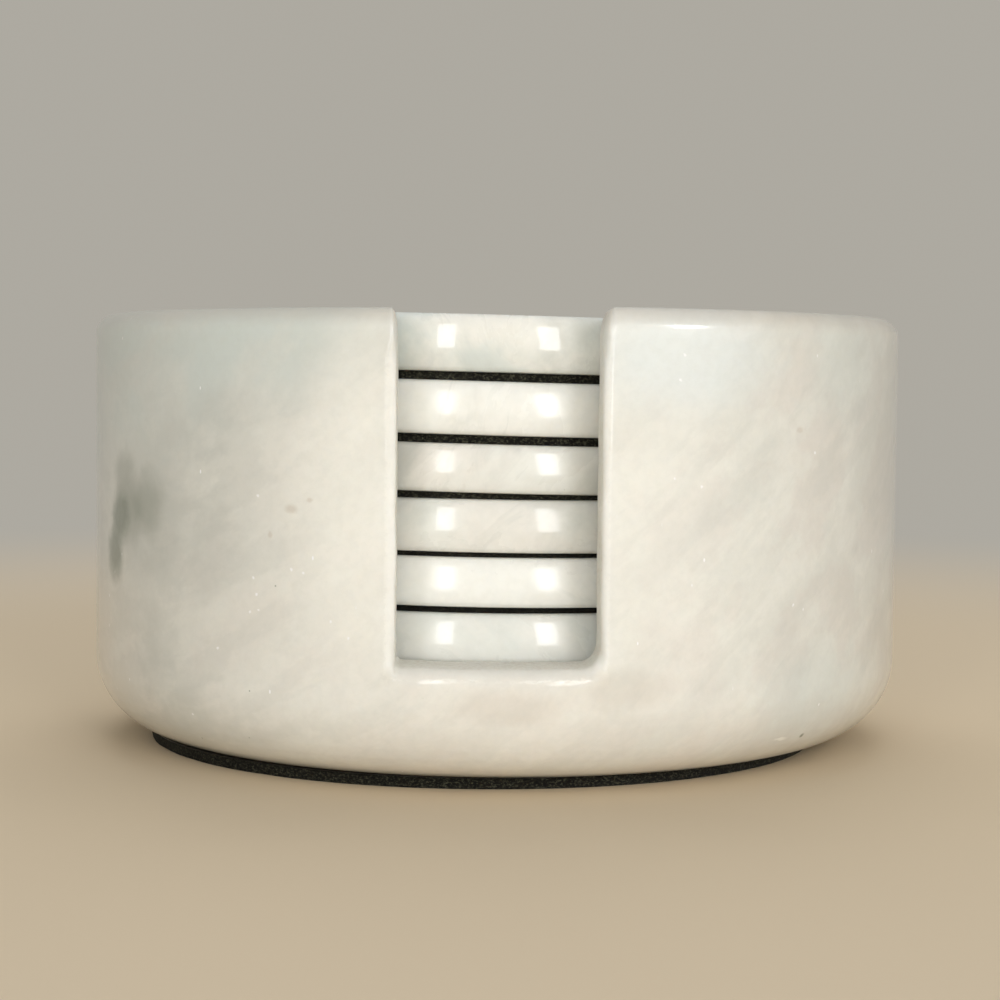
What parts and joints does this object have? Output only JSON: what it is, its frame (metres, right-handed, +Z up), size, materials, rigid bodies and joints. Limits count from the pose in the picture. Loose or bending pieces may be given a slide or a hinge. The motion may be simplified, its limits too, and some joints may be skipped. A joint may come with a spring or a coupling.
{
  "type": "drink coaster set",
  "caption": "Round polished marble drink coasters with foam pads, stacked in an open marble bowl holder with a finger slot in front.",
  "frame": {"origin": "under the middle of the holder, on the surface that it stands on", "axes": "+Z up along the bowl's axis, the way the coasters lift out; -Y towards the finger slot; +X to the right of someone facing the slot"},
  "size_m": [0.126, 0.126, 0.0661],
  "materials": {
    "holder_marble": "polished",
    "coaster_marble": "polished",
    "foam": "matte",
    "adhesive": "matte"
  },
  "bodies": {
    "holder": {"holder": "holder_marble", "base_adhesive": "adhesive", "base_pad": "foam"},
    "coaster_1": {"coaster_1_stone": "coaster_marble", "coaster_1_adhesive": "adhesive", "coaster_1_pad": "foam"},
    "coaster_2": {"coaster_2_stone": "coaster_marble", "coaster_2_adhesive": "adhesive", "coaster_2_pad": "foam"},
    "coaster_3": {"coaster_3_stone": "coaster_marble", "coaster_3_adhesive": "adhesive", "coaster_3_pad": "foam"},
    "coaster_4": {"coaster_4_stone": "coaster_marble", "coaster_4_adhesive": "adhesive", "coaster_4_pad": "foam"},
    "coaster_5": {"coaster_5_stone": "coaster_marble", "coaster_5_adhesive": "adhesive", "coaster_5_pad": "foam"},
    "coaster_6": {"coaster_6_stone": "coaster_marble", "coaster_6_adhesive": "adhesive", "coaster_6_pad": "foam"}
  },
  "joints": [
    {"name": "coaster_1_lift", "type": "slide", "parent": "holder", "child": "coaster_1", "axis": [0, 0, 1], "range_m": [0, 0.055]},
    {"name": "coaster_2_lift", "type": "slide", "parent": "coaster_1", "child": "coaster_2", "axis": [0, 0, 1], "range_m": [0, 0.047]},
    {"name": "coaster_3_lift", "type": "slide", "parent": "coaster_2", "child": "coaster_3", "axis": [0, 0, 1], "range_m": [0, 0.039]},
    {"name": "coaster_4_lift", "type": "slide", "parent": "coaster_3", "child": "coaster_4", "axis": [0, 0, 1], "range_m": [0, 0.031]},
    {"name": "coaster_5_lift", "type": "slide", "parent": "coaster_4", "child": "coaster_5", "axis": [0, 0, 1], "range_m": [0, 0.024]},
    {"name": "coaster_6_lift", "type": "slide", "parent": "coaster_5", "child": "coaster_6", "axis": [0, 0, 1], "range_m": [0, 0.015]}
  ]
}
